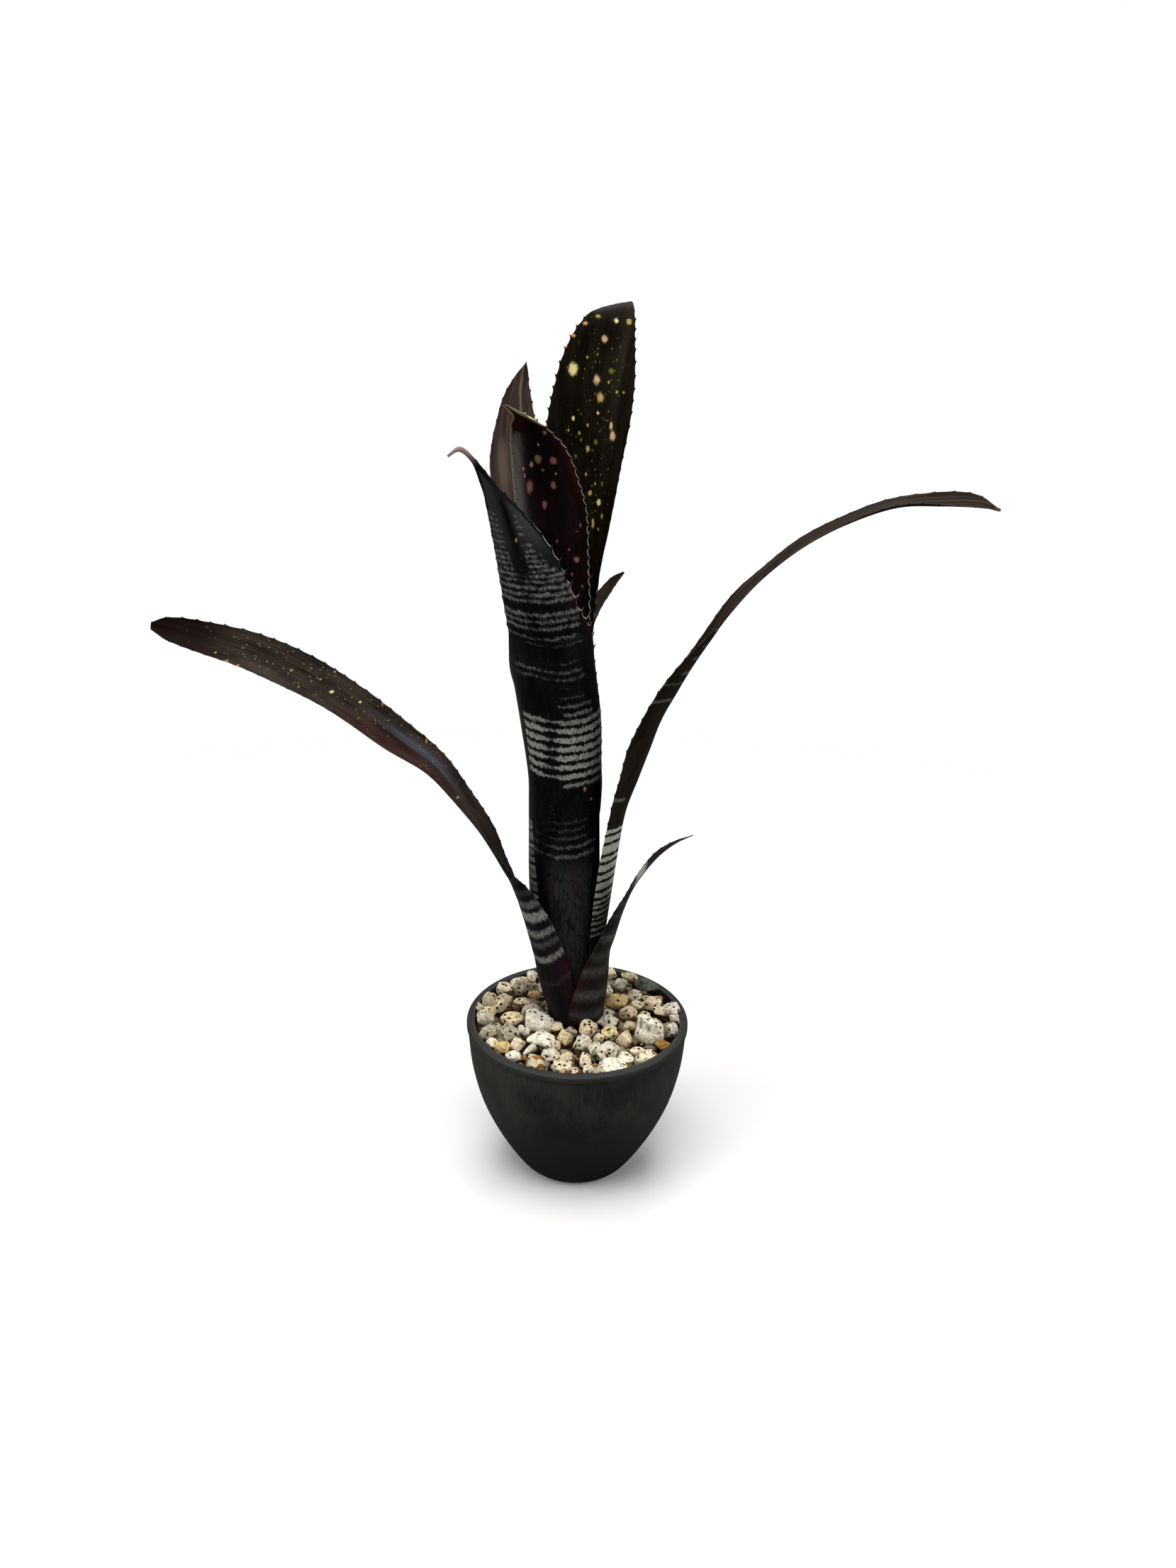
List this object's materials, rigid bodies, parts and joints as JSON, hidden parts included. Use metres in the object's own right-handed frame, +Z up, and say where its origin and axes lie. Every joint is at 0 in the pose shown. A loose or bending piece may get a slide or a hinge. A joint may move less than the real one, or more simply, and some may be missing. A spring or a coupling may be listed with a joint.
{
  "type": "potted bromeliad",
  "caption": "Tube-shaped bromeliad with banded and spotted strap leaves, two arching ones, in a round tapered pot dressed with pumice.",
  "frame": {"origin": "centre of the pot's flat foot, on the surface it stands on", "axes": "+Z up along the pot's axis, -Y towards the plant's front with the banded leaf, +X towards the thin arching leaf"},
  "size_m": [0.3358, 0.1382, 0.4148],
  "materials": {
    "pot_plastic": "matte charcoal, faint vertical scuffs, slightly lighter rolled rim",
    "mix": "matt dark brown bark and peat crumbs",
    "pumice": "matt cream and grey porous pebbles with dark pits and some yellow stains",
    "stem": "matt dark reddish brown",
    "leaf_arching_left": "satin olive brown with fine stripes, silver bands on the outside of the base",
    "leaf_small": "satin dark brown with faint silver bands",
    "leaf_arching_right": "satin grey brown, wide silver bands at the base",
    "leaf_rear": "satin dark brown with faint silver flecks",
    "leaf_banded": "satin black green with ragged silver cross bands and a pale edge line",
    "leaf_spotted_green": "satin black green with cream and yellow spots of many sizes",
    "leaf_brown": "satin warm brown with fine lengthwise folds, silver cross lines outside",
    "leaf_spotted_maroon": "satin black maroon with rose spots and a pale edge line"
  },
  "bodies": {
    "root": {"pot": "pot_plastic", "potting_mix": "mix", "pumice_top_dressing": "pumice", "rootstock": "stem", "leaf_left_arching": "leaf_arching_left", "leaf_small_right": "leaf_small", "leaf_right_arching": "leaf_arching_right", "leaf_small_rear": "leaf_rear", "leaf_front_banded": "leaf_banded", "leaf_tall_back": "leaf_spotted_green", "leaf_back_left": "leaf_brown", "leaf_inner_spotted": "leaf_spotted_maroon"}
  },
  "joints": []
}
